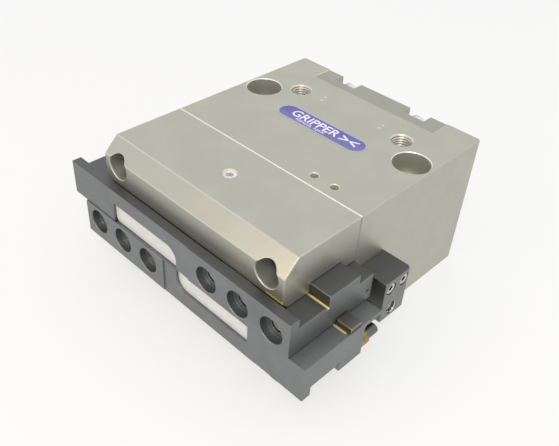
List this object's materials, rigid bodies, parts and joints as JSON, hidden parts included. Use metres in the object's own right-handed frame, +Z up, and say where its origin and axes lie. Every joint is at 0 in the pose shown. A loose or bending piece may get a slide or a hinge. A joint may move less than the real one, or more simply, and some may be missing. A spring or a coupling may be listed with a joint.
{
  "type": "pneumatic parallel gripper",
  "caption": "Block-shaped pneumatic parallel gripper: a piston and drive wedge push two opposed T-guided jaws apart along a slot at the front face.",
  "frame": {"origin": "centre of the footprint on the bottom face of the housing with its rails", "axes": "+X along the jaw travel, -Y towards the jaws, +Z up to the face with the air ports"},
  "size_m": [0.15, 0.1376, 0.0713],
  "materials": {
    "body_metal": "satin nickel-like coat",
    "jaw_steel": "dark hardened, satin",
    "key_steel": "ground",
    "strip_metal": "bright satin",
    "black_steel": "black oxide",
    "bright_steel": "bright",
    "brass": "turned",
    "piston_metal": "turned",
    "rubber": "matt",
    "bearing_plastic": "matt",
    "label": "printed, blank",
    "bracket_black": "black anodised, satin"
  },
  "bodies": {
    "body": {"housing": "body_metal", "upper_guide_rail": "body_metal", "lower_guide_rail": "body_metal", "rail_screws": "black_steel", "rail_dowels": "bright_steel", "rear_cover": "body_metal", "rear_cover_screws": "bright_steel", "cover_seal": "rubber", "rod_bush": "brass", "rod_seal": "rubber", "gallery_seals": "rubber", "purge_plugs": "bright_steel", "grease_plug": "bright_steel", "name_plate": "label", "sensor_bracket": "bracket_black", "sensor_bracket_screws": "black_steel", "sensor_clamp_screw": "black_steel"},
    "piston_set": {"piston": "piston_metal", "piston_seals": "rubber", "piston_guide_ring": "bearing_plastic", "piston_nut": "bright_steel", "piston_rod": "bright_steel", "wedge_stud": "bright_steel", "drive_wedge": "key_steel"},
    "right_jaw_set": {"right_jaw": "jaw_steel", "right_jaw_strip": "strip_metal", "right_drive_pin": "bright_steel", "right_slide_block": "key_steel", "right_stop_key": "key_steel", "right_switch_screw": "black_steel", "right_switch_collar": "brass"},
    "left_jaw_set": {"left_jaw": "jaw_steel", "left_jaw_strip": "strip_metal", "left_drive_pin": "bright_steel", "left_slide_block": "key_steel", "left_stop_key": "key_steel", "left_switch_screw": "black_steel", "left_switch_collar": "brass"}
  },
  "joints": [
    {"name": "right_jaw_slide", "type": "slide", "parent": "body", "child": "right_jaw_set", "axis": [1, 0, 0], "range_m": [0, 0.018]},
    {"name": "left_jaw_slide", "type": "slide", "parent": "body", "child": "left_jaw_set", "axis": [-1, 0, 0], "range_m": [0, 0.018]},
    {"name": "piston_slide", "type": "slide", "parent": "body", "child": "piston_set", "axis": [0, -1, 0], "range_m": [0, 0.018]}
  ],
  "couplings": [
    {"joint": "left_jaw_slide", "follows": "right_jaw_slide", "ratio": 1},
    {"joint": "piston_slide", "follows": "right_jaw_slide", "ratio": 1}
  ]
}
